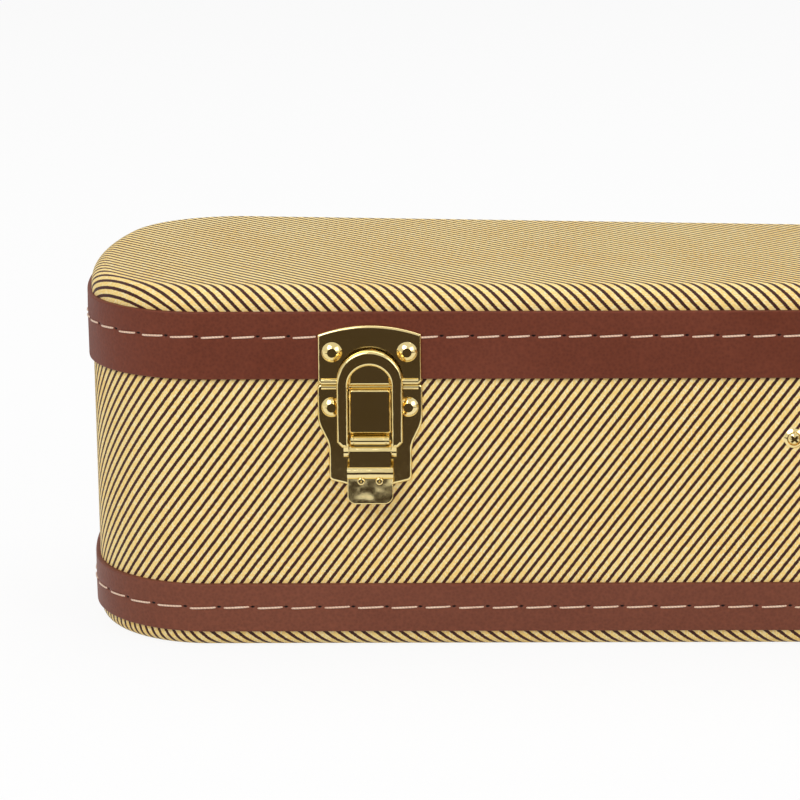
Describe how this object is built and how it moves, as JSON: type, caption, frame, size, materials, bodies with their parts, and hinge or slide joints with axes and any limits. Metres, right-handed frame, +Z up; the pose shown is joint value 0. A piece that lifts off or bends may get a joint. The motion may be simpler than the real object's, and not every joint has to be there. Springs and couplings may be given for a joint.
{
  "type": "guitar case",
  "caption": "Shaped hard case for a parlour guitar: tweed over plywood, vinyl edge bands, hinged lid, draw latches, carrying handle and plush inside.",
  "frame": {"origin": "on the underside, on the centre line, halfway along the shell", "axes": "+X from the head end to the tail end, -Y the side with latches and handle, +Y the hinge side, +Z up"},
  "size_m": [0.9947, 0.3988, 0.1306],
  "materials": {
    "tweed": "woven tweed with dark brown diagonal stripes, lacquered",
    "band_vinyl": "grained leather-like vinyl, stitched",
    "plush": "short-pile plush over foam or board",
    "ribbon": "woven ribbon",
    "plywood": "bare plywood",
    "grip_vinyl": "moulded leather-like vinyl",
    "gold_metal": "polished gold plating"
  },
  "bodies": {
    "base": {"base_panel": "plywood", "base_wall_head": "plywood", "base_wall_front": "plywood", "base_wall_back": "plywood", "base_wall_tail": "plywood", "base_side_tweed": "tweed", "base_bottom_tweed": "tweed", "base_band": "band_vinyl", "base_lining": "plush", "neck_cradle": "plush", "cradle_screws": "gold_metal", "cradle_cup_washers": "gold_metal", "compartment_divider": "plush", "compartment_shelf": "plush", "waist_pad_front": "plush", "waist_pad_back": "plush", "latch_plate_head": "gold_metal", "latch_plate_neck": "gold_metal", "latch_plate_bout": "gold_metal", "latch_plate_tail": "gold_metal", "latch_lever_pins": "gold_metal", "latch_plate_rivets": "gold_metal", "hinge_base_leaf_1": "gold_metal", "hinge_base_leaf_2": "gold_metal", "hinge_base_leaf_3": "gold_metal", "hinge_pins": "gold_metal", "hinge_base_rivets": "gold_metal", "handle_bracket_head_side": "gold_metal", "handle_bracket_tail_side": "gold_metal", "handle_pins": "gold_metal", "handle_bracket_rivets": "gold_metal"},
    "lid": {"lid_panel": "plywood", "lid_wall_head": "plywood", "lid_wall_front": "plywood", "lid_wall_back": "plywood", "lid_wall_tail": "plywood", "lid_tweed": "tweed", "lid_band": "band_vinyl", "lid_lining": "plush", "strike_plate_head": "gold_metal", "strike_plate_neck": "gold_metal", "strike_plate_bout": "gold_metal", "strike_plate_tail": "gold_metal", "strike_plate_rivets": "gold_metal", "hinge_lid_leaf_1": "gold_metal", "hinge_lid_leaf_2": "gold_metal", "hinge_lid_leaf_3": "gold_metal", "hinge_lid_rivets": "gold_metal"},
    "latch_lever_head": {"latch_lever_head": "gold_metal"},
    "latch_bail_head": {"latch_bail_head": "gold_metal"},
    "latch_lever_neck": {"latch_lever_neck": "gold_metal"},
    "latch_bail_neck": {"latch_bail_neck": "gold_metal"},
    "latch_lever_bout": {"latch_lever_bout": "gold_metal"},
    "latch_bail_bout": {"latch_bail_bout": "gold_metal"},
    "latch_lever_tail": {"latch_lever_tail": "gold_metal"},
    "latch_bail_tail": {"latch_bail_tail": "gold_metal"},
    "handle": {"handle_core": "gold_metal", "handle_grip": "grip_vinyl"},
    "compartment_door": {"compartment_door": "plush", "compartment_pull_tab": "ribbon"}
  },
  "joints": [
    {"name": "lid_hinge", "type": "hinge", "parent": "base", "child": "lid", "pos_m": [0.31815, 0.1962, 0.0984], "axis": [-1, 0, 0], "range_deg": [0, 105]},
    {"name": "latch_lever_head_pivot", "type": "hinge", "parent": "base", "child": "latch_lever_head", "pos_m": [-0.38603, -0.07525, 0.0774], "axis": [-0.9987, -0.0501, 0], "range_deg": [0, 110]},
    {"name": "latch_bail_head_pivot", "type": "hinge", "parent": "latch_lever_head", "child": "latch_bail_head", "pos_m": [-0.38609, -0.07405, 0.0732], "axis": [-0.9987, -0.0501, 0], "range_deg": [-122, 0]},
    {"name": "latch_lever_neck_pivot", "type": "hinge", "parent": "base", "child": "latch_lever_neck", "pos_m": [-0.13968, -0.0629, 0.0774], "axis": [-0.9987, -0.0501, 0], "range_deg": [0, 110]},
    {"name": "latch_bail_neck_pivot", "type": "hinge", "parent": "latch_lever_neck", "child": "latch_bail_neck", "pos_m": [-0.13974, -0.0617, 0.0732], "axis": [-0.9987, -0.0501, 0], "range_deg": [-122, 0]},
    {"name": "latch_lever_bout_pivot", "type": "hinge", "parent": "base", "child": "latch_lever_bout", "pos_m": [0.31815, -0.1974, 0.0774], "axis": [-1, 0, 0], "range_deg": [0, 110]},
    {"name": "latch_bail_bout_pivot", "type": "hinge", "parent": "latch_lever_bout", "child": "latch_bail_bout", "pos_m": [0.31815, -0.1962, 0.0732], "axis": [-1, 0, 0], "range_deg": [-122, 0]},
    {"name": "latch_lever_tail_pivot", "type": "hinge", "parent": "base", "child": "latch_lever_tail", "pos_m": [0.4979, 0, 0.0774], "axis": [0, -1, 0], "range_deg": [0, 110]},
    {"name": "latch_bail_tail_pivot", "type": "hinge", "parent": "latch_lever_tail", "child": "latch_bail_tail", "pos_m": [0.4967, 0, 0.0732], "axis": [0, -1, 0], "range_deg": [-122, 0]},
    {"name": "handle_pivot", "type": "hinge", "parent": "base", "child": "handle", "pos_m": [0.094, -0.1556, 0.081], "axis": [-1, 0, 0], "range_deg": [0, 120]},
    {"name": "compartment_door_hinge", "type": "hinge", "parent": "base", "child": "compartment_door", "pos_m": [-0.16995, 0, 0.042], "axis": [0, -1, 0], "range_deg": [0, 95]}
  ],
  "couplings": [
    {"joint": "latch_bail_head_pivot", "follows": "latch_lever_head_pivot", "ratio": -1.1},
    {"joint": "latch_bail_neck_pivot", "follows": "latch_lever_neck_pivot", "ratio": -1.1},
    {"joint": "latch_bail_bout_pivot", "follows": "latch_lever_bout_pivot", "ratio": -1.1},
    {"joint": "latch_bail_tail_pivot", "follows": "latch_lever_tail_pivot", "ratio": -1.1}
  ]
}
